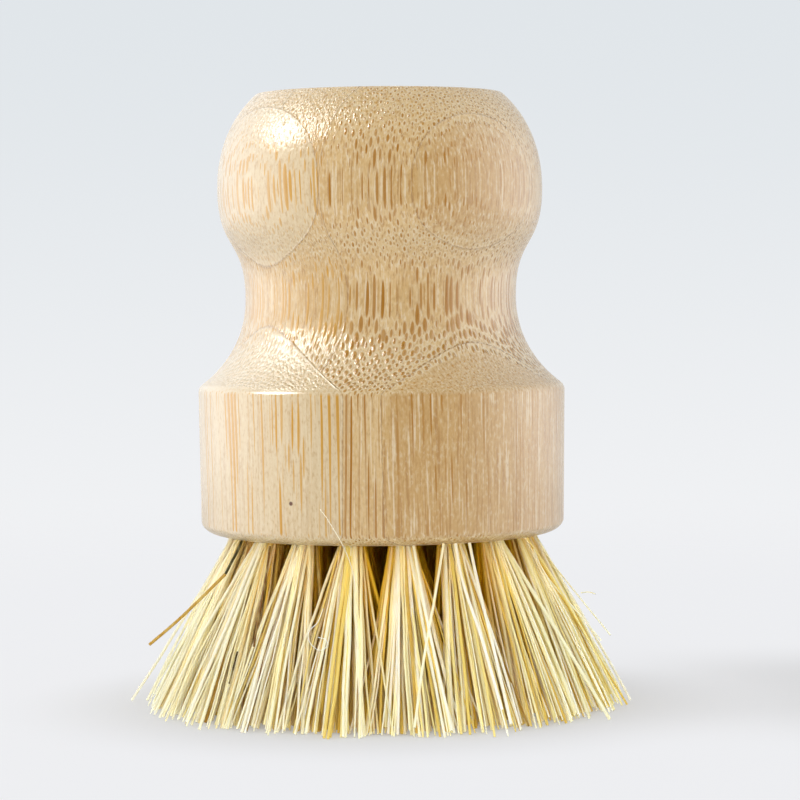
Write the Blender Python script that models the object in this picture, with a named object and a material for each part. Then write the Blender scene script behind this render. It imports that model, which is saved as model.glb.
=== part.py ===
"""A palm brush: a handle turned from one laminated bamboo blank, drilled from below, and tufts of plant
fibre that are folded over wire staples in the drilled holes and trimmed flat.

Lengths are in metres and +Z is up. The origin is on the turning axis, in the plane of the trimmed tips.
"""

import math

import bmesh
import bpy
from mathutils import Matrix, Vector
from mathutils.geometry import delaunay_2d_cdt

# Heights of the turned handle, stacked from the trimmed tips upwards
BRISTLE_LENGTH = 0.0259
BLOCK_HEIGHT = 0.0216
EDGE_HEIGHT = 0.0006
NECK_HEIGHT = 0.0131
KNOB_RISE = 0.0162
CROWN_RISE = 0.0143

# Radii of the turned handle, and how far its block tapers and is rounded
TOP_RADIUS = 0.0183
KNOB_RADIUS = 0.02435
WAIST_RADIUS = 0.0203
BLOCK_RADIUS = 0.0275
EDGE_WIDTH = 0.0003
BLOCK_TAPER = 0.00025
FOOT_ROUND_WIDTH = 0.00325
FOOT_ROUND_HEIGHT = 0.0020

# How the turned curves bulge: two control points each, as shares of the way across and down
CROWN_SHARE = ((0.55, 0.20), (1.0, 0.525))
KNOB_SHARE = ((0.0, 0.56), (1.0, 0.44))
NECK_SHARE = ((0.0, 0.443), (0.42, 0.779))

# The drilled holes, which lean outwards with their distance from the axis
HOLE_DIAMETER = 0.0045
HOLE_DEPTH = 0.0120
DRILL_POINT_HEIGHT = 0.00135
RIM_WALL = 0.00085
OUTER_LEAN = math.radians(12)
OUTER_TUFTS = 18
MIDDLE_TUFTS = 12
INNER_TUFTS = 6
FIRST_OUTER_ANGLE = math.radians(-81.9)
FIRST_MIDDLE_ANGLE = math.radians(-75)
FIRST_INNER_ANGLE = math.radians(-60)

# The tufts: fibre packed into the hole, and strands that splay below it
FIT_CLEARANCE = 0.0003
PACKED_PROUD = 0.0005
TIP_OUTREACH = 0.0094
TIP_SPREAD_RADIUS = 0.0050
STRAND_INSET = 0.00005
STRAND_WIDTH_SHARE = 0.31
CORE_RADIUS_SHARE = 0.57
CORE_STRANDS = 3
RIM_STRANDS = 7

# The staples, bent from square wire, with their legs in the wood above the hole
WIRE_WIDTH = 0.0006
LEG_INSET = 0.00015
STAPLE_LENGTH = 0.0055
FOLD_THICKNESS = 0.0012

CUT_OVERRUN = 0.002
MERGE_DISTANCE = 0.000001

TURNED_SIDES = 44
HOLE_SIDES = 10
STRAND_SIDES = 3
STRAND_SEGMENTS = 2
CURVE_STEPS = 6
ROUND_STEPS = 4
SMOOTH_ANGLE = math.radians(35)


def clear_scene():
    for old in list(bpy.data.objects):
        bpy.data.objects.remove(old, do_unlink=True)


def principled(name, colour, roughness, metallic):
    material = bpy.data.materials.new(name)
    material.use_nodes = True
    shader = material.node_tree.nodes["Principled BSDF"]
    shader.inputs["Base Color"].default_value = (*colour, 1.0)
    shader.inputs["Roughness"].default_value = roughness
    shader.inputs["Metallic"].default_value = metallic
    material.diffuse_color = (*colour, 1.0)
    return material


def lacquered_bamboo():
    material = principled("lacquered_bamboo", (0.66, 0.43, 0.20), 0.32, 0.0)
    material.node_tree.nodes["Principled BSDF"].inputs["Coat Weight"].default_value = 0.6
    return material


def plant_fibre():
    return principled("plant_fibre", (0.80, 0.68, 0.38), 0.65, 0.0)


def staple_wire():
    return principled("staple_wire", (0.62, 0.62, 0.60), 0.35, 1.0)


def add_object(name, mesh):
    placed = bpy.data.objects.new(name, mesh)
    bpy.context.scene.collection.objects.link(placed)
    return placed


def add_piece(name, mesh, material):
    if not mesh.materials:
        mesh.materials.append(material)
    return add_object(name, mesh)


def add_cutter(name, mesh):
    """A body that only shapes its neighbours, and isn't a piece of the brush."""
    cutter = add_object(name, mesh)
    cutter.hide_render = True
    cutter.display_type = "WIRE"
    return cutter


def add_boolean(target, cutter, operation):
    modifier = target.modifiers.new(cutter.name, "BOOLEAN")
    modifier.operation = operation
    modifier.solver = "EXACT"
    modifier.object = cutter


def finished_mesh(name, bm):
    """Turns a bmesh into a mesh whose faces point out and whose round sides are shaded smooth."""
    bmesh.ops.recalc_face_normals(bm, faces=bm.faces)
    mesh = bpy.data.meshes.new(name)
    bm.to_mesh(mesh)
    bm.free()
    mesh.shade_smooth()
    mesh.set_sharp_from_angle(angle=SMOOTH_ANGLE)
    return mesh


def ring_of_points(count, radius, first_turn):
    """Points of a ring round the origin, as (x, y). The first is turned by a share of the pitch."""
    points = []
    for index in range(count):
        turn = 2 * math.pi * (index + first_turn) / count
        points.append((radius * math.cos(turn), radius * math.sin(turn)))
    return points


def bridge_rings(bm, lower, upper):
    """Side faces between two rings of the same number of corners."""
    count = len(lower)
    for side in range(count):
        after = (side + 1) % count
        bm.faces.new((lower[side], lower[after], upper[after], upper[side]))


def foot_radius():
    return BLOCK_RADIUS - BLOCK_TAPER


def outer_ring_radius():
    """The outer holes leave a narrow flat wall inside the rounded foot."""
    return foot_radius() - FOOT_ROUND_WIDTH - RIM_WALL - 0.5 * HOLE_DIAMETER


def tuft_rings():
    """Name, radius and tuft angles of each ring. The rings are evenly spaced out from the centre tuft."""
    outer = outer_ring_radius()
    layout = (
        ("outer", outer, OUTER_TUFTS, FIRST_OUTER_ANGLE),
        ("middle", outer * 2 / 3, MIDDLE_TUFTS, FIRST_MIDDLE_ANGLE),
        ("inner", outer / 3, INNER_TUFTS, FIRST_INNER_ANGLE),
        ("centre", 0, 1, 0),
    )
    rings = []
    for name, radius, count, first in layout:
        angles = [first + 2 * math.pi * index / count for index in range(count)]
        rings.append((name, radius, angles))
    return rings


def hole_lean(ring_radius):
    return OUTER_LEAN * ring_radius / outer_ring_radius()


def mouth_frame(ring_radius, angle):
    """The frame of a hole: its origin in the middle of the mouth and its Z axis up the hole."""
    turn = Matrix.Rotation(angle, 4, "Z")
    move = Matrix.Translation((ring_radius, 0, BRISTLE_LENGTH))
    lean = Matrix.Rotation(-hole_lean(ring_radius), 4, "Y")
    return turn @ move @ lean


def turned_curve(start, end, shares):
    """Points of one turned curve after its start, as (radius, height)."""
    controls = [start]
    for across, down in shares:
        radius = start[0] + across * (end[0] - start[0])
        height = start[1] + down * (end[1] - start[1])
        controls.append((radius, height))
    controls.append(end)
    points = []
    for step in range(1, CURVE_STEPS + 1):
        t = step / CURVE_STEPS
        weights = ((1 - t) ** 3, 3 * t * (1 - t) ** 2, 3 * t * t * (1 - t), t ** 3)
        radius = sum(weight * control[0] for weight, control in zip(weights, controls))
        height = sum(weight * control[1] for weight, control in zip(weights, controls))
        points.append((radius, height))
    return points


def handle_outline():
    """The turned outline, from the rim of the flat top down to the rim of the flat underside."""
    edge = (BLOCK_RADIUS, BRISTLE_LENGTH + BLOCK_HEIGHT)
    shoulder = (BLOCK_RADIUS - EDGE_WIDTH, edge[1] + EDGE_HEIGHT)
    waist = (WAIST_RADIUS, shoulder[1] + NECK_HEIGHT)
    widest = (KNOB_RADIUS, waist[1] + KNOB_RISE)
    top = (TOP_RADIUS, widest[1] + CROWN_RISE)
    outline = [top]
    outline += turned_curve(top, widest, CROWN_SHARE)
    outline += turned_curve(widest, waist, KNOB_SHARE)
    outline += turned_curve(waist, shoulder, NECK_SHARE)
    outline.append(edge)
    for step in range(ROUND_STEPS + 1):
        turn = 0.5 * math.pi * step / ROUND_STEPS
        radius = foot_radius() - FOOT_ROUND_WIDTH * (1 - math.cos(turn))
        height = BRISTLE_LENGTH + FOOT_ROUND_HEIGHT * (1 - math.sin(turn))
        outline.append((radius, height))
    return outline


def turned_blank():
    """Spins the outline round the turning axis and closes the flat top and the flat underside."""
    bm = bmesh.new()
    points = [bm.verts.new((radius, 0, height)) for radius, height in handle_outline()]
    edges = [bm.edges.new(pair) for pair in zip(points, points[1:])]
    bmesh.ops.spin(
        bm,
        geom=points + edges,
        axis=(0, 0, 1),
        cent=(0, 0, 0),
        angle=2 * math.pi,
        steps=TURNED_SIDES,
        use_merge=True,
    )
    open_edges = [edge for edge in bm.edges if edge.is_boundary]
    bmesh.ops.holes_fill(bm, edges=open_edges)
    return finished_mesh("handle", bm)


def add_hole(bm, frame):
    """One drilled hole, with the cone that the drill's point leaves, as a closed body."""
    circle = ring_of_points(HOLE_SIDES, 0.5 * HOLE_DIAMETER, 0)
    below = [bm.verts.new(frame @ Vector((x, y, -CUT_OVERRUN))) for x, y in circle]
    deep = [bm.verts.new(frame @ Vector((x, y, HOLE_DEPTH))) for x, y in circle]
    point = bm.verts.new(frame @ Vector((0, 0, HOLE_DEPTH + DRILL_POINT_HEIGHT)))
    bm.faces.new(below)
    bridge_rings(bm, below, deep)
    for side in range(HOLE_SIDES):
        bm.faces.new((deep[side], deep[(side + 1) % HOLE_SIDES], point))


def packed_depth():
    return HOLE_DEPTH - FIT_CLEARANCE


def packed_radius():
    return 0.5 * HOLE_DIAMETER - FIT_CLEARANCE


def add_staple(bm, frame, clearance):
    """A U of square wire round the fold of the fibre, its legs pointing up the hole, grown by a clearance."""
    half_wire = 0.5 * WIRE_WIDTH + clearance
    crown = packed_depth() - FOLD_THICKNESS - 0.5 * WIRE_WIDTH
    tip = crown - 0.5 * WIRE_WIDTH + STAPLE_LENGTH + clearance
    outer = 0.5 * HOLE_DIAMETER - FIT_CLEARANCE - LEG_INSET + clearance
    inner = outer - 2 * half_wire
    outline = (
        (-outer, crown - half_wire),
        (outer, crown - half_wire),
        (outer, tip),
        (inner, tip),
        (inner, crown + half_wire),
        (-inner, crown + half_wire),
        (-inner, tip),
        (-outer, tip),
    )
    near = [bm.verts.new(frame @ Vector((-half_wire, y, z))) for y, z in outline]
    far = [bm.verts.new(frame @ Vector((half_wire, y, z))) for y, z in outline]
    bm.faces.new(near)
    bm.faces.new(far)
    bridge_rings(bm, near, far)


def staple_mesh(name, clearance):
    bm = bmesh.new()
    add_staple(bm, Matrix(), clearance)
    return finished_mesh(name, bm)


def strand_reach():
    """From the middle of a strand to its corners."""
    return STRAND_WIDTH_SHARE * packed_radius() / math.sqrt(3)


def strand_roots():
    """Middles of a tuft's strands: one in the middle, a core ring and a rim ring just inside the packed fibre."""
    flat_radius = packed_radius() * math.cos(math.pi / HOLE_SIDES)
    rim_radius = flat_radius - strand_reach() - STRAND_INSET
    core = ring_of_points(CORE_STRANDS, rim_radius * CORE_RADIUS_SHARE, 0.5)
    rim = ring_of_points(RIM_STRANDS, rim_radius, 0.5)
    return [(0, 0)] + core + rim


def strand_section(middle):
    """Corners of a strand round its own middle, the first one turned to the middle of the tuft."""
    inwards = math.atan2(middle[1], middle[0]) + math.pi
    section = []
    for side in range(STRAND_SIDES):
        turn = inwards + 2 * math.pi * side / STRAND_SIDES
        section.append((strand_reach() * math.cos(turn), strand_reach() * math.sin(turn)))
    return section


def tuft_middle(ring_radius, fall):
    """Distance of a tuft's middle from the axis after a share of the fall from the underside to the tips.

    The fibres leave the hole along its lean, then splay out, in the outer ring to TIP_OUTREACH beyond it.
    """
    lean = math.tan(hole_lean(ring_radius)) * BRISTLE_LENGTH
    splay = TIP_OUTREACH * ring_radius / outer_ring_radius() - lean
    return ring_radius + lean * fall + splay * fall ** 2


def add_packed_face(bm, x, height, circle, roots):
    """The lower face of the packed fibre, with an open corner-to-corner gap where each strand goes on.

    Returns the corners of its rim and the corners of each strand's root.
    """
    outline = [Vector(point) for point in circle]
    edges = [(side, (side + 1) % len(circle)) for side in range(len(circle))]
    starts = []
    for middle in roots:
        start = len(outline)
        starts.append(start)
        for side, corner in enumerate(strand_section(middle)):
            outline.append(Vector((middle[0] + corner[0], middle[1] + corner[1])))
            edges.append((start + side, start + (side + 1) % STRAND_SIDES))
    flat, _, faces, origins, _, _ = delaunay_2d_cdt(outline, edges, [], 0, MERGE_DISTANCE)
    corners = {}
    for place, origin in zip(flat, origins):
        corners[origin[0]] = bm.verts.new((x + place.x, place.y, height))
    root_faces = {tuple(range(start, start + STRAND_SIDES)) for start in starts}
    for face in faces:
        named = [origins[index][0] for index in face]
        if tuple(sorted(named)) not in root_faces:
            bm.faces.new([corners[name] for name in named])
    rim = [corners[side] for side in range(len(circle))]
    sections = [[corners[start + side] for side in range(STRAND_SIDES)] for start in starts]
    return rim, sections


def add_strand(bm, ring_radius, middle, root_section):
    """One strand from its root down to the trimmed tip. Nothing crosses, because every strand of a tuft
    keeps its place in a pattern that only grows as it falls."""
    above = root_section
    for segment in range(1, STRAND_SEGMENTS + 1):
        fall = segment / STRAND_SEGMENTS
        spread = 1 + (TIP_SPREAD_RADIUS / packed_radius() - 1) * fall
        x = tuft_middle(ring_radius, fall) + middle[0] * spread
        y = middle[1] * spread
        height = BRISTLE_LENGTH * (1 - fall)
        below = [bm.verts.new((x + dx, y + dy, height)) for dx, dy in strand_section(middle)]
        bridge_rings(bm, above, below)
        above = below
    bm.faces.new(above)


def tuft_mesh(name, ring_radius):
    """Fibre packed into the hole, with strands that fan out from its lower face to the trimmed tips."""
    bm = bmesh.new()
    circle = ring_of_points(HOLE_SIDES, packed_radius(), 0)
    roots = strand_roots()
    root_x = tuft_middle(ring_radius, PACKED_PROUD / BRISTLE_LENGTH)
    rim, sections = add_packed_face(bm, root_x, BRISTLE_LENGTH - PACKED_PROUD, circle, roots)
    frame = mouth_frame(ring_radius, 0)
    fold = [bm.verts.new(frame @ Vector((x, y, packed_depth()))) for x, y in circle]
    bridge_rings(bm, rim, fold)
    bm.faces.new(fold)
    for middle, section in zip(roots, sections):
        add_strand(bm, ring_radius, middle, section)
    four_sided = [face for face in bm.faces if len(face.verts) == 4]
    bmesh.ops.triangulate(bm, faces=four_sided)
    return finished_mesh(name, bm)


def make_handle(material):
    handle = add_piece("handle", turned_blank(), material)
    holes = bmesh.new()
    pockets = bmesh.new()
    for _, ring_radius, angles in tuft_rings():
        for angle in angles:
            frame = mouth_frame(ring_radius, angle)
            add_hole(holes, frame)
            add_staple(pockets, frame, FIT_CLEARANCE)
    for name, bodies in (("drilled_holes", holes), ("leg_pockets", pockets)):
        add_boolean(handle, add_cutter(name, finished_mesh(name, bodies)), "DIFFERENCE")


def add_mouth(name, ring_radius, angle):
    """An empty in the mouth of a hole, which carries what is driven into it."""
    mouth = add_object(name, None)
    mouth.location = (ring_radius * math.cos(angle), ring_radius * math.sin(angle), BRISTLE_LENGTH)
    mouth.rotation_euler = (0, -hole_lean(ring_radius), angle)
    return mouth


def make_tufts(fibre, wire):
    """A tuft for every hole. The outer staples are pieces of their own, and the other tufts are joined to theirs."""
    staple = staple_mesh("staple", 0)
    channel = staple_mesh("staple_channel", FIT_CLEARANCE)
    for ring, ring_radius, angles in tuft_rings():
        mesh = tuft_mesh("tuft_" + ring, ring_radius)
        for index, angle in enumerate(angles):
            place = f"{ring}_{index + 1:02d}" if len(angles) > 1 else ring
            tuft = add_piece("tuft_" + place, mesh, fibre)
            tuft.rotation_euler.z = angle
            mouth = add_mouth("mouth_" + place, ring_radius, angle)
            if ring == "outer":
                driven = add_piece("staple_" + place, staple, wire)
                room = add_cutter("channel_" + place, channel)
                room.parent = mouth
                add_boolean(tuft, room, "DIFFERENCE")
            else:
                driven = add_cutter("joined_staple_" + place, staple)
                add_boolean(tuft, driven, "UNION")
            driven.parent = mouth


clear_scene()
make_handle(lacquered_bamboo())
make_tufts(plant_fibre(), staple_wire())
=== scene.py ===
"""Looks of the palm brush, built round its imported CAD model: a lacquered bamboo handle and pale plant fibre.

Lengths are in metres unless a comment says millimetres. +Z is up and -Y faces the camera.
"""

import math

import bmesh
import bpy
from mathutils import Matrix, Vector


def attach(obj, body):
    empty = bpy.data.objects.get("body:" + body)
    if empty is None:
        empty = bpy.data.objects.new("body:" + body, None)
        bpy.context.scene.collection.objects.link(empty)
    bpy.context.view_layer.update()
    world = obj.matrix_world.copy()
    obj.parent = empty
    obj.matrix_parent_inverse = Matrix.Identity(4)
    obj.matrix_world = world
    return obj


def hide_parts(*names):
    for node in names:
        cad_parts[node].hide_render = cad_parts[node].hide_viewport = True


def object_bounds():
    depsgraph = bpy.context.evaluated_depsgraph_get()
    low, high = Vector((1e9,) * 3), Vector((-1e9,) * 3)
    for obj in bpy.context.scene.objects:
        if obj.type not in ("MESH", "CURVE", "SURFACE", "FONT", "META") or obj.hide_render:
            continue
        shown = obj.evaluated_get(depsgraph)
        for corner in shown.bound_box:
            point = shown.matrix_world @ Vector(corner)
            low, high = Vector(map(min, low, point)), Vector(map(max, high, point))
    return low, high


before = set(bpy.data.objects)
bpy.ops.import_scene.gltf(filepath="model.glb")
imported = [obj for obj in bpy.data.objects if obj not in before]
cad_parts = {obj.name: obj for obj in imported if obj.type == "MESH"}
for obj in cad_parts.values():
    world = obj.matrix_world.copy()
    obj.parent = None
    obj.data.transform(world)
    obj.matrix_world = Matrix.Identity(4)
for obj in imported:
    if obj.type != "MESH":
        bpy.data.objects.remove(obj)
cad_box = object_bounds()


# The handle is one blank, glued up from bamboo strips and turned on a lathe to a ball knob, a waist and a
# short round block. It is drilled from below for the tufts and dipped in clear lacquer.
BRISTLE_LENGTH = 0.0259
BLOCK_HEIGHT = 0.0216
EDGE_HEIGHT = 0.0006
NECK_HEIGHT = 0.0131
KNOB_RISE = 0.0162
CROWN_RISE = 0.0143

TOP_RADIUS = 0.0183
KNOB_RADIUS = 0.02435
WAIST_RADIUS = 0.0203
BLOCK_RADIUS = 0.0275
EDGE_WIDTH = 0.0003
FOOT_RADIUS = 0.02725
FOOT_ROUND_WIDTH = 0.00325
FOOT_ROUND_HEIGHT = 0.0020

CROWN_SHARE = ((0.55, 0.20), (1.0, 0.525))
KNOB_SHARE = ((0.0, 0.56), (1.0, 0.44))
NECK_SHARE = ((0.0, 0.443), (0.42, 0.779))

SANDED_REACH = 0.00035
SANDED_STEPS = 5
CURVE_STEPS = 26
ROUND_STEPS = 10
TURNED_SIDES = 200
SHARP_ANGLE = math.radians(35)

HOLE_DIAMETER = 0.0045
HOLE_DEPTH = 0.0120
DRILL_POINT_HEIGHT = 0.00135
DRILL_OVERRUN = 0.001
HOLE_SIDES = 28
OUTER_RING_RADIUS = 0.0209
OUTER_LEAN = math.radians(12)
# Each ring's name, its share of the outer ring's radius and lean, its number of holes and its first angle
RINGS = (
    ("outer", 1.0, 18, math.radians(-81.9)),
    ("middle", 2 / 3, 12, math.radians(-75)),
    ("inner", 1 / 3, 6, math.radians(-60)),
    ("centre", 0.0, 1, 0.0),
)


def turned_curve(start, end, shares):
    """Points of one turned curve after its start, as (radius, height)."""
    controls = [start]
    for across, down in shares:
        controls.append((start[0] + across * (end[0] - start[0]), start[1] + down * (end[1] - start[1])))
    controls.append(end)
    points = []
    for step in range(1, CURVE_STEPS + 1):
        t = step / CURVE_STEPS
        weights = ((1 - t) ** 3, 3 * t * (1 - t) ** 2, 3 * t * t * (1 - t), t ** 3)
        radius = sum(weight * control[0] for weight, control in zip(weights, controls))
        height = sum(weight * control[1] for weight, control in zip(weights, controls))
        points.append((radius, height))
    return points


def sanded(before, corner, after):
    """The short curve that sanding leaves in place of a turned corner."""
    corner = Vector(corner)
    start = corner + (Vector(before) - corner).normalized() * SANDED_REACH
    end = corner + (Vector(after) - corner).normalized() * SANDED_REACH
    points = []
    for step in range(SANDED_STEPS + 1):
        t = step / SANDED_STEPS
        points.append(tuple(start * (1 - t) ** 2 + corner * 2 * t * (1 - t) + end * t * t))
    return points


def handle_outline():
    """The turned outline as (radius, height), from the flat top down to the flat underside."""
    edge = (BLOCK_RADIUS, BRISTLE_LENGTH + BLOCK_HEIGHT)
    shoulder = (BLOCK_RADIUS - EDGE_WIDTH, edge[1] + EDGE_HEIGHT)
    waist = (WAIST_RADIUS, shoulder[1] + NECK_HEIGHT)
    widest = (KNOB_RADIUS, waist[1] + KNOB_RISE)
    top = (TOP_RADIUS, widest[1] + CROWN_RISE)
    foot = (FOOT_RADIUS, BRISTLE_LENGTH + FOOT_ROUND_HEIGHT)
    crown = turned_curve(top, widest, CROWN_SHARE)
    neck = turned_curve(waist, shoulder, NECK_SHARE)
    outline = sanded((0.0, top[1]), top, crown[0])
    outline += crown[1:]
    outline += turned_curve(widest, waist, KNOB_SHARE)
    outline += neck[:-1]
    outline += sanded(neck[-2], shoulder, edge)
    outline += sanded(shoulder, edge, foot)
    for step in range(ROUND_STEPS + 1):
        turn = 0.5 * math.pi * step / ROUND_STEPS
        radius = FOOT_RADIUS - FOOT_ROUND_WIDTH * (1 - math.cos(turn))
        height = BRISTLE_LENGTH + FOOT_ROUND_HEIGHT * (1 - math.sin(turn))
        outline.append((radius, height))
    return outline


def hole_places():
    """Ring name, number in the ring, ring radius, lean and angle of every drilled hole."""
    places = []
    for ring, share, count, first in RINGS:
        for index in range(count):
            angle = first + 2 * math.pi * index / count
            places.append((ring, index + 1, OUTER_RING_RADIUS * share, OUTER_LEAN * share, angle))
    return places


def object_from(name, bm):
    bmesh.ops.recalc_face_normals(bm, faces=bm.faces)
    mesh = bpy.data.meshes.new(name)
    bm.to_mesh(mesh)
    bm.free()
    made = bpy.data.objects.new(name, mesh)
    bpy.context.scene.collection.objects.link(made)
    return made


def turned_blank():
    bm = bmesh.new()
    rim = [bm.verts.new((radius, 0, height)) for radius, height in handle_outline()]
    edges = [bm.edges.new(pair) for pair in zip(rim, rim[1:])]
    bmesh.ops.spin(
        bm,
        geom=rim + edges,
        axis=(0, 0, 1),
        cent=(0, 0, 0),
        angle=2 * math.pi,
        steps=TURNED_SIDES,
        use_merge=True,
    )
    open_edges = [edge for edge in bm.edges if edge.is_boundary]
    bmesh.ops.holes_fill(bm, edges=open_edges)
    return object_from("handle_turned", bm)


def drill_holes(blank):
    """Cuts the blind holes, each with the cone of the drill's point at its end."""
    bm = bmesh.new()
    for _, _, ring_radius, lean, angle in hole_places():
        turn = Matrix.Rotation(angle, 4, "Z")
        move = Matrix.Translation((ring_radius, 0, BRISTLE_LENGTH))
        mouth = turn @ move @ Matrix.Rotation(-lean, 4, "Y")
        circle = []
        for side in range(HOLE_SIDES):
            round_angle = 2 * math.pi * side / HOLE_SIDES
            radius = 0.5 * HOLE_DIAMETER
            circle.append((radius * math.cos(round_angle), radius * math.sin(round_angle)))
        below = [bm.verts.new(mouth @ Vector((x, y, -DRILL_OVERRUN))) for x, y in circle]
        deep = [bm.verts.new(mouth @ Vector((x, y, HOLE_DEPTH))) for x, y in circle]
        point = bm.verts.new(mouth @ Vector((0, 0, HOLE_DEPTH + DRILL_POINT_HEIGHT)))
        bm.faces.new(below)
        for side in range(HOLE_SIDES):
            after = (side + 1) % HOLE_SIDES
            bm.faces.new((below[side], below[after], deep[after], deep[side]))
            bm.faces.new((deep[side], deep[after], point))
    drilled = object_from("drilled_holes", bm)
    cut = blank.modifiers.new("drilled", "BOOLEAN")
    cut.operation = "DIFFERENCE"
    cut.solver = "EXACT"
    cut.object = drilled
    view_layer = bpy.context.evaluated_depsgraph_get()
    mesh = bpy.data.meshes.new_from_object(blank.evaluated_get(view_layer))
    blank.modifiers.clear()
    blank.data = mesh
    mesh.shade_smooth()
    mesh.set_sharp_from_angle(angle=SHARP_ANGLE)
    bpy.data.objects.remove(drilled, do_unlink=True)


def set_inputs(tree, node, values):
    """Sets inputs by name or number, each to a plain value or to another node's output."""
    for socket, value in values.items():
        if isinstance(value, bpy.types.NodeSocket):
            tree.links.new(value, node.inputs[socket])
        else:
            node.inputs[socket].default_value = value


def add_node(tree, kind, settings=None, values=None):
    node = tree.nodes.new(kind)
    for name, value in (settings or {}).items():
        setattr(node, name, value)
    set_inputs(tree, node, values or {})
    return node


def result(tree, kind, values=None, settings=None):
    """The first output of a new node."""
    return add_node(tree, kind, settings, values).outputs[0]


def maths(tree, operation, *values):
    return result(tree, "ShaderNodeMath", dict(enumerate(values)), {"operation": operation})


def product(tree, first, second):
    return maths(tree, "MULTIPLY", first, second)


def between(tree, share, low, high):
    """The number that lies this share of the way from low to high."""
    return maths(tree, "MULTIPLY_ADD", share, high - low, low)


def chosen(tree, mask, first, second):
    """The first number where the mask is 0, the second where it is 1."""
    return result(tree, "ShaderNodeMix", {0: mask, 2: first, 3: second})


def ease(tree, value, start, end, low=0.0, high=1.0):
    """Goes smoothly from low to high while the value goes from start to end."""
    values = {"Value": value, "From Min": start, "From Max": end, "To Min": low, "To Max": high}
    return result(tree, "ShaderNodeMapRange", values, {"interpolation_type": "SMOOTHSTEP"})


def vector_maths(tree, operation, *values):
    node = add_node(tree, "ShaderNodeVectorMath", {"operation": operation}, dict(enumerate(values)))
    return node.outputs["Value" if operation in ("LENGTH", "DOT_PRODUCT") else "Vector"]


def scaled(tree, vector, factor):
    return result(tree, "ShaderNodeVectorMath", {0: vector, "Scale": factor}, {"operation": "SCALE"})


def combined(tree, x=0.0, y=0.0, z=0.0):
    return result(tree, "ShaderNodeCombineXYZ", {0: x, 1: y, 2: z})


def separated(tree, vector):
    return add_node(tree, "ShaderNodeSeparateXYZ", None, {0: vector}).outputs


def noise(tree, place, stretch, detail):
    """The value and the colour of a noise over a place that is stretched first."""
    values = {"Vector": vector_maths(tree, "MULTIPLY", place, stretch), "Scale": 1.0, "Detail": detail}
    return add_node(tree, "ShaderNodeTexNoise", None, values).outputs


def srgb(red, green, blue):
    """A colour as the eye names it, 0 to 255, as the linear colour that a shader takes."""
    linear = []
    for level in (red, green, blue):
        share = level / 255
        linear.append(share / 12.92 if share <= 0.04045 else ((share + 0.055) / 1.055) ** 2.4)
    return (*linear, 1.0)


def blended(tree, factor, first, second):
    """The first colour where the factor is 0, the second where it is 1."""
    values = {0: factor, 6: first, 7: second}
    return add_node(tree, "ShaderNodeMix", {"data_type": "RGBA"}, values).outputs[2]


def ramped(tree, value, stops):
    """The colour of a value on a ramp of stops, each a position and a colour."""
    ramp = add_node(tree, "ShaderNodeValToRGB", None, {0: value})
    while len(ramp.color_ramp.elements) < len(stops):
        ramp.color_ramp.elements.new(0.5)
    for element, (position, colour) in zip(ramp.color_ramp.elements, stops):
        element.position = position
        element.color = colour
    return ramp.outputs[0]


def new_material(name):
    material = bpy.data.materials.new(name)
    material.use_nodes = True
    return material, material.node_tree, material.node_tree.nodes["Principled BSDF"]


def add_sockets(tree, inputs, outputs):
    """Gives a group its sockets, each a name and a kind, and returns the ones that its own nodes link to."""
    for in_out, sockets in (("INPUT", inputs), ("OUTPUT", outputs)):
        for name, kind in sockets.items():
            tree.interface.new_socket(name, in_out=in_out, socket_type="NodeSocket" + kind)
    return tree.nodes.new("NodeGroupInput").outputs, tree.nodes.new("NodeGroupOutput").inputs


# The boards of the blank, in millimetres along axes that are turned with the strips. A mask starts at the
# first of its edges and is full at the second, and it leads from the first of two shares to the second.
MM_PER_M = 1000.0
STRIP_TURN = math.radians(52)
STRIP_WIDTH = 9.0
STRIP_START = 3.7
SIDE_BOARD_START = 20.8
SIDE_BOARD_DEPTH = 7.0
SIDE_BOARD_NUMBERS = (15.0, 25.0)
FINE_BOARD_START = 22.45
YOUNG_BOARD_EDGES = (14.5, 11.0)
BOARD_LEANS = (-0.025, 0.025)
BOARD_OFFSET = 37.3

# The bundles in the boards: their pitch in millimetres, and shares of the pitch or of a bundle's radius
BUNDLE_SHARES = (
    (0.0, 0.24),
    (47.4, 0.24),
    (48.5, 0.40),
    (56.0, 0.44),
    (61.0, 0.30),
    (66.0, 0.24),
    (71.0, 0.22),
    (74.5, 0.27),
    (80.0, 0.27),
    (84.0, 0.25),
    (92.0, 0.24),
)
RAMP_HEIGHT = 100.0
COARSE_PITCHES = (0.9, 0.83)
COARSE_WANDER = 2.8
FINE_PITCH = 0.75
FINE_WANDER = 2.4
FINE_THICKNESS_SHARE = 0.2
WANDER_STRETCH = (0.06, 0.06, 0.022)
WANDER_DETAIL = 1.5
BUNDLE_DISORDER = 0.5
BUNDLE_SIZE_SHARES = (0.75, 1.25)
MASK_SHARES = {"Mask": (0.68, 1.0), "Core": (0.0, 0.5), "Dome": (0.0, 1.2), "Halo": (1.0, 1.9)}
CROWDING = 2.7
INNER_FACE = (0.0, 0.3)
INNER_FACE_SHARES = (0.8, 1.0)
CROWD_STRETCH = (0.4, 0.4, 0.03)
CROWD_DETAIL = 1.0
CROWD_EDGES = (0.36, 0.6)
CROWD_SHARES = (0.5, 1.25)
SIDE_THICKNESS_SHARES = (1.0, 1.15)


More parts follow.
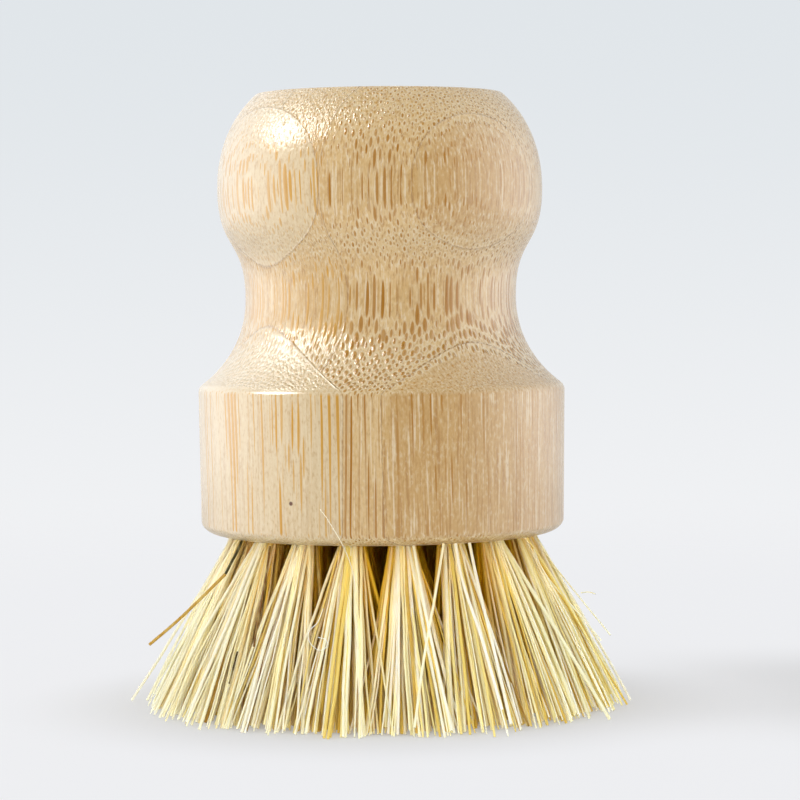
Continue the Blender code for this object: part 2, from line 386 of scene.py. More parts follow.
def bundle_group():
    """Vascular bundles of bamboo, which run up the strip and show as streaks, or as dots where cut across."""
    tree = bpy.data.node_groups.new("vascular_bundles", "ShaderNodeTree")
    inputs = {"Place": "Vector", "Pitch": "Float", "Wander": "Float", "Thickness": "Float", "Offset": "Float"}
    given, made = add_sockets(tree, inputs, dict.fromkeys((*MASK_SHARES, "Tone"), "Float"))
    drift = noise(tree, given["Place"], WANDER_STRETCH, WANDER_DETAIL)["Color"]
    centred = vector_maths(tree, "SUBTRACT", drift, (0.5, 0.5, 0.5))
    moved = vector_maths(tree, "ADD", given["Place"], scaled(tree, centred, given["Wander"]))
    shifted = vector_maths(tree, "ADD", moved, given["Offset"])
    cells = scaled(tree, shifted, maths(tree, "DIVIDE", 1.0, given["Pitch"]))
    settings = {"voronoi_dimensions": "2D", "feature": "F1"}
    values = {"Vector": cells, "Scale": 1.0, "Randomness": BUNDLE_DISORDER}
    found = add_node(tree, "ShaderNodeTexVoronoi", settings, values).outputs
    chance = add_node(tree, "ShaderNodeSeparateColor", None, {0: found["Color"]}).outputs
    radius = product(tree, given["Thickness"], between(tree, chance[0], *BUNDLE_SIZE_SHARES))
    # Each mask fades out between two shares of the bundle's radius
    for name, shares in MASK_SHARES.items():
        full, faded = (product(tree, radius, share) for share in shares)
        tree.links.new(ease(tree, found["Distance"], full, faded, 1.0, 0.0), made[name])
    tree.links.new(chance[1], made["Tone"])
    return tree


def board_at(tree, across, over):
    """Whether a point is in a side board, its board's number, its depth in it and its way to a glue line."""
    steps = maths(tree, "DIVIDE", maths(tree, "SUBTRACT", across, STRIP_START), STRIP_WIDTH)
    core_depth = maths(tree, "FRACT", steps)
    beyond = maths(tree, "SUBTRACT", maths(tree, "ABSOLUTE", over), SIDE_BOARD_START)
    in_side = maths(tree, "GREATER_THAN", beyond, 0.0)
    side_number = between(tree, maths(tree, "GREATER_THAN", over, 0.0), *SIDE_BOARD_NUMBERS)
    number = chosen(tree, in_side, maths(tree, "FLOOR", steps), side_number)
    depth = chosen(tree, in_side, core_depth, maths(tree, "DIVIDE", beyond, SIDE_BOARD_DEPTH))
    from_middle = maths(tree, "ABSOLUTE", maths(tree, "SUBTRACT", core_depth, 0.5))
    to_plane = product(tree, maths(tree, "SUBTRACT", 0.5, from_middle), STRIP_WIDTH)
    core_gap = maths(tree, "MULTIPLY_ADD", in_side, STRIP_WIDTH, to_plane)
    gap = maths(tree, "MINIMUM", core_gap, maths(tree, "ABSOLUTE", beyond))
    return in_side, number, depth, gap


def bundle_place(tree, turned, leans, in_side, depth):
    """The point among the bundles, which lean and crowd in each board in their own way."""
    over, up = separated(tree, turned)[1:]
    # The boards weren't sawn quite along the fibre
    lean_across = product(tree, up, between(tree, leans[0], *BOARD_LEANS))
    lean_over = product(tree, up, between(tree, leans[1], *BOARD_LEANS))
    leaning = vector_maths(tree, "ADD", turned, combined(tree, lean_across, lean_over))
    # The bundles crowd towards the outer face of each strip
    crowding = product(tree, product(tree, depth, depth), CROWDING)
    crowd_across = product(tree, crowding, maths(tree, "SUBTRACT", 1.0, in_side))
    crowd_over = product(tree, product(tree, crowding, in_side), maths(tree, "SIGN", over))
    return vector_maths(tree, "ADD", leaning, combined(tree, crowd_across, crowd_over))


def bundle_layers(tree, place, number, depth, share, end_grain, in_side, fine_board):
    """The coarse bundles, which every board but the fine one has, and the small ones between them."""
    inner_share = ease(tree, depth, *INNER_FACE, *INNER_FACE_SHARES)
    # Where the bundles are cut along their length, they show in loose crowds
    crowds = ease(tree, noise(tree, place, CROWD_STRETCH, CROWD_DETAIL)[0], *CROWD_EDGES, *CROWD_SHARES)
    crowd_share = chosen(tree, end_grain, crowds, 1.0)
    side_share = between(tree, in_side, *SIDE_THICKNESS_SHARES)
    crowded_share = product(tree, product(tree, share, side_share), crowd_share)
    off_fine = maths(tree, "SUBTRACT", 1.0, fine_board)
    thickness = product(tree, product(tree, inner_share, crowded_share), off_fine)
    pitch = between(tree, in_side, *COARSE_PITCHES)
    settings = {"node_tree": bundle_group()}
    shared = {"Place": place, "Offset": product(tree, number, BOARD_OFFSET)}
    coarse = {"Pitch": pitch, "Wander": COARSE_WANDER, "Thickness": thickness, **shared}
    fine = {"Pitch": FINE_PITCH, "Wander": FINE_WANDER, "Thickness": FINE_THICKNESS_SHARE, **shared}
    return [add_node(tree, "ShaderNodeGroup", settings, values).outputs for values in (coarse, fine)]


# Soft ground tissue between the bundles: slow clouds, fine lines up the strip and specks
CLOUD_STRETCH = (0.28, 0.28, 0.05)
CLOUD_WARMTH = 0.8
BOARD_WARMTH = 0.3
WARMTH_EDGES = (0.2, 0.95)
LINE_STRETCH = (2.6, 2.6, 0.06)
LINE_DETAIL = 4.0
SIDE_LINE_SHARES = (1.0, 0.45)
DARK_LINE_EDGES = (0.55, 0.64)
DARK_LINE_SHARE = 0.65
PALE_LINE_EDGES = (0.44, 0.35)
PALE_LINE_SHARE = 0.7
SPECK_STRETCH = (2.6, 2.6, 1.2)
DARK_SPECK_EDGES = (0.5, 0.75)
DARK_SPECK_SHARE = 0.45
PALE_SPECK_EDGES = (0.5, 0.25)
PALE_SPECK_SHARE = 0.4
SOFT_DETAIL = 2.0
PALE_GROUND = srgb(227, 192, 134)
WARM_GROUND = srgb(210, 168, 102)
CUT_GROUND = srgb(228, 198, 146)
FINE_GROUND = srgb(210, 169, 107)
FINE_CUT_GROUND = srgb(220, 188, 136)
SIDE_GROUND = srgb(226, 201, 157)
DARK_LINE = srgb(184, 134, 72)
PALE_LINE = srgb(240, 220, 184)
DARK_SPECK = srgb(184, 140, 80)
PALE_SPECK = srgb(240, 224, 188)


def ground_colour(tree, place, lines, specks, tone, end_grain, in_side, fine_board):
    clouds = noise(tree, place, CLOUD_STRETCH, SOFT_DETAIL)[0]
    warmth = maths(tree, "MULTIPLY_ADD", clouds, CLOUD_WARMTH, product(tree, tone, BOARD_WARMTH))
    along = blended(tree, ease(tree, warmth, *WARMTH_EDGES), PALE_GROUND, WARM_GROUND)
    core_ground = blended(tree, end_grain, along, CUT_GROUND)
    fine_ground = blended(tree, end_grain, FINE_GROUND, FINE_CUT_GROUND)
    board_ground = blended(tree, fine_board, core_ground, fine_ground)
    ground = blended(tree, in_side, board_ground, SIDE_GROUND)
    line_share = between(tree, in_side, *SIDE_LINE_SHARES)
    dark_lines = product(tree, line_share, ease(tree, lines, *DARK_LINE_EDGES, 0.0, DARK_LINE_SHARE))
    pale_lines = product(tree, line_share, ease(tree, lines, *PALE_LINE_EDGES, 0.0, PALE_LINE_SHARE))
    streaked = blended(tree, dark_lines, ground, DARK_LINE)
    lined = blended(tree, pale_lines, streaked, PALE_LINE)
    speckled = blended(tree, ease(tree, specks, *DARK_SPECK_EDGES, 0.0, DARK_SPECK_SHARE), lined, DARK_SPECK)
    return blended(tree, ease(tree, specks, *PALE_SPECK_EDGES, 0.0, PALE_SPECK_SHARE), speckled, PALE_SPECK)


# The colours of the bundles, which are streaks where they are cut along and dots where they are cut across.
# The boards on the left have younger, paler ones than the rest.
STREAK = srgb(180, 120, 14)
YOUNG_STREAK = srgb(212, 152, 14)
DOT = srgb(196, 144, 62)
YOUNG_DOT = srgb(212, 166, 92)
STREAK_CORE = srgb(164, 104, 8)
DOT_CORE = srgb(144, 90, 26)
HALO = srgb(238, 220, 182)
HALO_SHARES = (0.2, 0.65)
CROWN_HEIGHTS = (80.0, 85.0)
FINE_SHARE = 0.4
FINE_TONE_SHARE = 0.6
TONE_SHARES = (0.7, 1.0)
SIDE_DOT_SHARES = (1.0, 0.35)
YOUNG_CORE_LOSS = -0.1
AGE_SHARES = (0.8, 0.25)


def bundle_colours(tree, ground, coarse, fine, up, young, end_grain, fine_board, board_share):
    long_colour = blended(tree, young, STREAK, YOUNG_STREAK)
    dot_colour = blended(tree, young, DOT, YOUNG_DOT)
    bundle_colour = blended(tree, end_grain, long_colour, dot_colour)
    # The small bundles show most on the fine board and round the crown
    on_crown = ease(tree, up, *CROWN_HEIGHTS, 0.0, FINE_SHARE)
    more_fine = maths(tree, "MAXIMUM", product(tree, fine_board, FINE_SHARE), on_crown)
    fine_share = maths(tree, "MULTIPLY_ADD", fine["Tone"], FINE_TONE_SHARE, more_fine)
    fine_cover = product(tree, fine["Mask"], fine_share)
    with_fine = blended(tree, fine_cover, ground, bundle_colour)
    halo = product(tree, coarse["Halo"], between(tree, end_grain, *HALO_SHARES))
    with_halo = blended(tree, halo, with_fine, HALO)
    strength = product(tree, between(tree, coarse["Tone"], *TONE_SHARES), board_share)
    with_bundles = blended(tree, product(tree, coarse["Mask"], strength), with_halo, bundle_colour)
    darkness = product(tree, coarse["Tone"], between(tree, young, *AGE_SHARES))
    core_colour = blended(tree, end_grain, STREAK_CORE, DOT_CORE)
    return blended(tree, product(tree, coarse["Core"], darkness), with_bundles, core_colour)


# The glue lines between the boards, a small dark spot on the block, and the lacquer over it all. It stands up
# over the bundles, most where they are cut across, but runs smooth on the block's upper edge. All is in
# millimetres but the dark spot and the relief.
GLUE = srgb(140, 100, 72)
GLUE_EDGES = (0.02, 0.09)
GLUE_SPECK_EDGES = (0.3, 0.7)
GLUE_SHARES = (0.08, 0.48)
DARK_SPOT = (-0.01296, -0.0241, 0.03205)
DARK_SPOT_EDGES = (0.0002, 0.0004)
DARK_SPOT_SHARE = 0.95
DARK_SPOT_COLOUR = srgb(96, 40, 0)
DOME_SHARES = (0.8, 5.4)
RIDGE_REACH = 0.16
LINE_RELIEF = 0.3
LUMP_SHARES = (0.4, 2.3)
EDGE_LINE_HEIGHT = 47.8
EDGE_LINE_REACH = (0.3, 0.8)
RELIEF_HEIGHT = 0.00008
END_GRAIN_FACING = (0.1, 0.62)
FLAT_END_FACING = (0.94, 0.99)
LACQUER_ROUGHNESS = (0.2, 0.6)
LACQUER_IOR = 1.6


def lacquer_relief(tree, domes, lines, specks, gap, up, end_grain):
    ridges = product(tree, ease(tree, gap, 0.0, RIDGE_REACH, 1.0, 0.0), end_grain)
    raised = maths(tree, "MULTIPLY_ADD", lines, LINE_RELIEF, maths(tree, "ADD", domes, ridges))
    from_edge = maths(tree, "ABSOLUTE", maths(tree, "SUBTRACT", up, EDGE_LINE_HEIGHT))
    off_edge = ease(tree, from_edge, *EDGE_LINE_REACH)
    lumps = product(tree, off_edge, between(tree, end_grain, *LUMP_SHARES))
    height = maths(tree, "MULTIPLY_ADD", specks, lumps, product(tree, raised, off_edge))
    return result(tree, "ShaderNodeBump", {"Height": height, "Strength": 1.0, "Distance": RELIEF_HEIGHT})


def bamboo_material():
    material, tree, shader = new_material("lacquered_bamboo")
    spots = add_node(tree, "ShaderNodeTexCoord").outputs
    # The axes of the strips, in millimetres: across them, over their faces, and up the handle
    turning = {"Vector": spots["Object"], "Rotation": (0, 0, STRIP_TURN), "Scale": (MM_PER_M,) * 3}
    turned = result(tree, "ShaderNodeMapping", turning)
    across, over, up = separated(tree, turned)
    facing = maths(tree, "ABSOLUTE", separated(tree, spots["Normal"])[2])
    end_grain = ease(tree, facing, *END_GRAIN_FACING)
    in_side, number, depth, gap = board_at(tree, across, over)
    off_side = maths(tree, "SUBTRACT", 1.0, in_side)
    fine_board = product(tree, maths(tree, "GREATER_THAN", across, FINE_BOARD_START), off_side)
    young = maths(tree, "MAXIMUM", in_side, ease(tree, across, *YOUNG_BOARD_EDGES))
    # The dots of the side boards are faint, and the young core boards' bundles a little fainter than others
    side_share = between(tree, product(tree, in_side, end_grain), *SIDE_DOT_SHARES)
    young_core = product(tree, young, off_side)
    board_share = maths(tree, "MULTIPLY_ADD", young_core, YOUNG_CORE_LOSS, side_share)
    draws = add_node(tree, "ShaderNodeTexWhiteNoise", {"noise_dimensions": "1D"}, {"W": number}).outputs
    leans = add_node(tree, "ShaderNodeSeparateColor", None, {0: draws["Color"]}).outputs
    place = bundle_place(tree, turned, leans, in_side, depth)

    # How thick the bundles show at each height of the handle, as a share of their pitch
    stops = [(height / RAMP_HEIGHT, (share, share, share, 1.0)) for height, share in BUNDLE_SHARES]
    share = ramped(tree, maths(tree, "DIVIDE", up, RAMP_HEIGHT), stops)
    coarse, fine = bundle_layers(tree, place, number, depth, share, end_grain, in_side, fine_board)
    lines = noise(tree, place, LINE_STRETCH, LINE_DETAIL)[0]
    specks = noise(tree, place, SPECK_STRETCH, SOFT_DETAIL)[0]
    ground = ground_colour(tree, place, lines, specks, draws["Value"], end_grain, in_side, fine_board)
    wood = bundle_colours(tree, ground, coarse, fine, up, young, end_grain, fine_board, board_share)
    glue_specks = ease(tree, specks, *GLUE_SPECK_EDGES, *GLUE_SHARES)
    glue = product(tree, ease(tree, gap, *GLUE_EDGES, 1.0, 0.0), glue_specks)
    glued = blended(tree, glue, wood, GLUE)
    from_dark_spot = vector_maths(tree, "LENGTH", vector_maths(tree, "SUBTRACT", spots["Object"], DARK_SPOT))
    in_dark_spot = ease(tree, from_dark_spot, *DARK_SPOT_EDGES, DARK_SPOT_SHARE, 0.0)

    raised = product(tree, between(tree, end_grain, *DOME_SHARES), share)
    domes = product(tree, coarse["Dome"], product(tree, raised, side_share))
    look = {
        "Base Color": blended(tree, in_dark_spot, glued, DARK_SPOT_COLOUR),
        # The cut ends of the blank, top and bottom, have soaked up the lacquer and are duller
        "Roughness": ease(tree, facing, *FLAT_END_FACING, *LACQUER_ROUGHNESS),
        "Normal": lacquer_relief(tree, domes, lines, specks, gap, up, end_grain),
        "IOR": LACQUER_IOR,
        "Specular IOR Level": 1.0,
    }
    set_inputs(tree, shader, look)
    return material


handle = turned_blank()
drill_holes(handle)
handle.data.materials.append(bamboo_material())
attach(handle, "root")
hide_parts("handle")


# The staples are short pieces of steel wire, bent to a U and driven up the holes, each over the fold of its
# tuft. The outer ring's are CAD pieces of their own, and the others are made here.
WIRE_RADIUS = 0.0003
STAPLE_HALF_WIDTH = 0.0015
STAPLE_LENGTH = 0.0055
STAPLE_CROWN = 0.0102
STAPLE_CORNERS = 4
BEND_RADIUS = 0.0006
BEND_STEPS = 5
WIRE_SIDES = 8
DRAWING_STRETCH = (9000.0, 9000.0, 700.0)
DRAWING_DETAIL = 3.0
DARK_STEEL = srgb(178, 178, 176)
PALE_STEEL = srgb(214, 214, 211)
MARK_EDGES = (0.3, 0.7)
STEEL_ROUGHNESS = (0.28, 0.5)


def staple_material():
    material, tree, shader = new_material("staple_wire")
    spots = add_node(tree, "ShaderNodeTexCoord").outputs["Object"]
    marks = noise(tree, spots, DRAWING_STRETCH, DRAWING_DETAIL)[0]
    look = {
        "Base Color": blended(tree, marks, DARK_STEEL, PALE_STEEL),
        "Roughness": ease(tree, marks, *MARK_EDGES, *STEEL_ROUGHNESS),
        "Metallic": 1.0,
    }
    set_inputs(tree, shader, look)
    return material


def staple_tree():
    """A ring of wire staples, each in the frame of its hole."""
    tree = bpy.data.node_groups.new("ring_of_staples", "GeometryNodeTree")
    inputs = {"Count": "Int", "Ring Radius": "Float", "Lean": "Float", "First Angle": "Float"}
    given, made = add_sockets(tree, {**inputs, "Steel": "Material"}, {"Geometry": "Geometry"})
    index = result(tree, "GeometryNodeInputIndex")
    pitch = maths(tree, "DIVIDE", 2 * math.pi, given["Count"])
    angle = maths(tree, "MULTIPLY_ADD", index, pitch, given["First Angle"])
    x = product(tree, given["Ring Radius"], maths(tree, "COSINE", angle))
    y = product(tree, given["Ring Radius"], maths(tree, "SINE", angle))
    place = combined(tree, x, y, BRISTLE_LENGTH)
    mouths = result(tree, "GeometryNodePoints", {"Count": given["Count"], "Position": place})
    turn = combined(tree, y=product(tree, given["Lean"], -1.0), z=angle)
    rotation = result(tree, "FunctionNodeEulerToRotation", {0: turn})

    # The corners in order: one leg's tip, the two ends of the crown and the other leg's tip
    straight = result(tree, "GeometryNodeCurvePrimitiveLine")
    corners = result(tree, "GeometryNodeResampleCurve", {"Curve": straight, "Count": STAPLE_CORNERS})
    middle = 0.5 * (STAPLE_CORNERS - 1)
    far_side = maths(tree, "GREATER_THAN", index, middle)
    leg_y = between(tree, far_side, -STAPLE_HALF_WIDTH, STAPLE_HALF_WIDTH)
    from_middle = maths(tree, "ABSOLUTE", maths(tree, "SUBTRACT", index, middle))
    at_tip = maths(tree, "GREATER_THAN", from_middle, 1.0)
    leg_z = maths(tree, "MULTIPLY_ADD", at_tip, STAPLE_LENGTH, STAPLE_CROWN)
    bent_place = combined(tree, y=leg_y, z=leg_z)
    bent = result(tree, "GeometryNodeSetPosition", {"Geometry": corners, "Position": bent_place})
    rounding = {"Curve": bent, "Radius": BEND_RADIUS, "Count": BEND_STEPS}
    rounded = result(tree, "GeometryNodeFilletCurve", rounding, {"mode": "POLY"})
    circle = {"Resolution": WIRE_SIDES, "Radius": WIRE_RADIUS}
    section = result(tree, "GeometryNodeCurvePrimitiveCircle", circle)
    swept = {"Curve": rounded, "Profile Curve": section, "Fill Caps": True}
    wire = result(tree, "GeometryNodeCurveToMesh", swept)
    placed = {"Points": mouths, "Instance": wire, "Rotation": rotation}
    driven = result(tree, "GeometryNodeInstanceOnPoints", placed)
    real = result(tree, "GeometryNodeRealizeInstances", {"Geometry": driven})
    painted = result(tree, "GeometryNodeSetMaterial", {"Geometry": real, "Material": given["Steel"]})
    tree.links.new(painted, made["Geometry"])
    return tree


def grown(name, tree, values):
    """Runs a geometry tree once with these inputs and keeps the result as a plain mesh."""
    maker = bpy.data.objects.new(name, bpy.data.meshes.new(name))
    bpy.context.scene.collection.objects.link(maker)
    modifier = maker.modifiers.new("grown", "NODES")
    modifier.node_group = tree
    for item in tree.interface.items_tree:
        if item.in_out == "INPUT" and item.name in values:
            modifier[item.identifier] = values[item.name]
    view_layer = bpy.context.evaluated_depsgraph_get()
    mesh = bpy.data.meshes.new_from_object(
        maker.evaluated_get(view_layer), preserve_all_data_layers=True, depsgraph=view_layer
    )
    maker.modifiers.clear()
    maker.data = mesh
    return maker


steel = staple_material()
for name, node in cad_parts.items():
    if name.startswith("staple_"):
        node.data.materials.clear()
        node.data.materials.append(steel)
staples = staple_tree()
for ring, share, count, first in RINGS[1:]:
    wires = grown(
        "staples_" + ring,
        staples,
        {
            "Count": count,
            "Ring Radius": OUTER_RING_RADIUS * share,
            "Lean": OUTER_LEAN * share,
            "First Angle": first,
            "Steel": steel,
        },
    )
    wires.data.shade_smooth()
    wires.data.set_sharp_from_angle(angle=SHARP_ANGLE)
    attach(wires, "root")


# The tufts are pale plant fibre: stiff, slightly wavy strands of uneven thickness, packed into the holes,
# splayed below the block and trimmed to one plane. Each tuft is a piece of its own.
FIBRES_PER_TUFT = 104
FIBRE_POINTS = 10
FIBRE_SIDES = 6
FIBRE_RADIUS = 0.0002
THINNEST_RADIUS = 0.00012
TIP_RADIUS_SHARE = 0.8
THICKNESS_POWER = 1.5
PACKED_DEPTH = 0.0117
ROOT_SPREAD = 0.00182
ROOT_JITTER = 0.7
GOLDEN_ANGLE = math.radians(137.508)
TIP_SPREAD = 0.0054
TIP_FAN = 0.0077
TIP_OUTREACH = 0.0094
STRAY_REACH = 0.0012
FAR_STRAY_REACH = 0.004
STRAY_POWER = 4.0
TRIM_HEIGHT = 0.00012
TRIM_UNEVENNESS = 0.0012
TRIM_POWER = 6.0
BOW_OUTWARDS = (-0.0016, 0.0022)
BOW_SIDEWAYS = (-0.0018, 0.0018)
WAVE_HEIGHT = 0.0004
WAVE_TURNS = (5.0, 16.0)
WAVE_STARTS = (0.0, 6.3)
DRAWS_PER_SEED = 31.0
SHARP_FIBRE_ANGLE = math.radians(65)

# The fibres' colours by the tone that is drawn for each, with a few dark ones
FIBRE_TONES = (
    (0.0, srgb(66, 60, 30)),
    (0.006, srgb(122, 78, 30)),
    (0.016, srgb(196, 156, 70)),
    (0.03, srgb(228, 194, 92)),
    (0.15, srgb(241, 216, 118)),
    (0.3, srgb(251, 240, 172)),
    (0.5, srgb(254, 252, 216)),
    (1.0, srgb(255, 255, 246)),
)
DARK_TONES = (0.016, 0.022)
MOTTLE_STRETCH = (900.0, 900.0, 220.0)
MOTTLE_EDGES = (0.45, 0.75)
MOTTLE_SHARE = 0.3
MOTTLE = srgb(246, 230, 156)
# Painted shade: the golden colour that the fibres are painted towards their roots, under the block
ROOT_SHADE = srgb(236, 202, 92)
ROOT_SHADE_HEIGHTS = (0.012, 0.026)
ROOT_SHADE_SHARE = 0.3
# Painted light: the paler colour that the fibres on the left are painted, towards the window
LIT_SIDE = srgb(255, 252, 226)
LIT_SIDE_EDGES = (-0.006, -0.024)
LIT_SIDE_SHARE = 0.6
LIT_DEPTHS = (0.0, 0.5)
# Painted shade: the golden brown that the fibres are painted deep in the fan, and where it is weaker
DEEP_SHADE = srgb(228, 178, 22)
DEEP_EDGES = (0.0, 0.7)
DEEP_SHADE_HEIGHTS = (0.0, 0.018)
DEEP_SHADE_HEIGHT_SHARES = (0.6, 1.0)
DEEP_SHADE_SIDE_EDGES = (-0.028, -0.006)
DEEP_SHADE_SIDE_SHARES = (0.5, 1.0)
FAN_RADIUS = 0.0357
FAN_SLOPE = -0.486
FAN_DEPTH = 0.0109
FAN_DEPTH_SLOPE = -0.28
FIBRE_ROUGHNESS_EDGES = (0.3, 0.7)
FIBRE_ROUGHNESS = (0.42, 0.62)
FIBRE_RELIEF_HEIGHT = 0.00005
FIBRE_RELIEF_STRENGTH = 0.4
FIBRE_SPECULAR = 0.2
FIBRE_GLOW_REACH = 0.0006
FIBRE_GLOW_SHARES = (1.0, 0.85, 0.6)


def fibre_material():
    material, tree, shader = new_material("plant_fibre")
    tone = add_node(tree, "ShaderNodeAttribute", {"attribute_name": "tone"}).outputs["Fac"]
    spots = add_node(tree, "ShaderNodeTexCoord").outputs["Object"]
    mottle = noise(tree, spots, MOTTLE_STRETCH, SOFT_DETAIL)[0]
    mottled = ease(tree, mottle, *MOTTLE_EDGES, 0.0, MOTTLE_SHARE)
    warmed = blended(tree, mottled, ramped(tree, tone, FIBRE_TONES), MOTTLE)
    # How far a point is inside the fan of fibres, as a share of the fan's depth at its height
    rightwards, _, height = separated(tree, spots)
    from_axis = vector_maths(tree, "LENGTH", vector_maths(tree, "MULTIPLY", spots, (1.0, 1.0, 0.0)))
    fan_edge = maths(tree, "MULTIPLY_ADD", height, FAN_SLOPE, FAN_RADIUS)
    fan_depth = maths(tree, "MULTIPLY_ADD", height, FAN_DEPTH_SLOPE, FAN_DEPTH)
    inside = maths(tree, "DIVIDE", maths(tree, "SUBTRACT", fan_edge, from_axis), fan_depth)
    deep = ease(tree, inside, *DEEP_EDGES)
    # Painted shade: towards the roots, under the block, the fibres are painted more golden
    shaded_at_root = blended(tree, ease(tree, height, *ROOT_SHADE_HEIGHTS, 0.0, ROOT_SHADE_SHARE), warmed, ROOT_SHADE)
    # Painted light: the fibres on the left, towards the window, are painted paler, most near the outside of
    # the fan
    leftwards = ease(tree, rightwards, *LIT_SIDE_EDGES, 0.0, LIT_SIDE_SHARE)
    lit_share = product(tree, leftwards, ease(tree, deep, *LIT_DEPTHS, 1.0, 0.0))
    lit_side = blended(tree, lit_share, shaded_at_root, LIT_SIDE)
    # Painted shade: deep in the brush, where light has passed through other fibres, they are painted golden
    # brown, less so near the tips and on the left, towards the window
    upwards = ease(tree, height, *DEEP_SHADE_HEIGHTS, *DEEP_SHADE_HEIGHT_SHARES)
    off_left = ease(tree, rightwards, *DEEP_SHADE_SIDE_EDGES, *DEEP_SHADE_SIDE_SHARES)
    shaded = blended(tree, product(tree, deep, product(tree, upwards, off_left)), lit_side, DEEP_SHADE)
    # The few dark fibres stay dark everywhere
    dark_fibre = ease(tree, tone, *DARK_TONES, 1.0, 0.0)
    bump = {"Height": mottle, "Strength": FIBRE_RELIEF_STRENGTH, "Distance": FIBRE_RELIEF_HEIGHT}
    shader.subsurface_method = "BURLEY"
    look = {
        "Base Color": blended(tree, dark_fibre, shaded, warmed),
        "Roughness": ease(tree, mottle, *FIBRE_ROUGHNESS_EDGES, *FIBRE_ROUGHNESS),
        "Normal": result(tree, "ShaderNodeBump", bump),
        "Specular IOR Level": FIBRE_SPECULAR,
        "Subsurface Weight": 1.0,
        "Subsurface Radius": FIBRE_GLOW_SHARES,
        "Subsurface Scale": FIBRE_GLOW_REACH,
    }
    set_inputs(tree, shader, look)
    return material


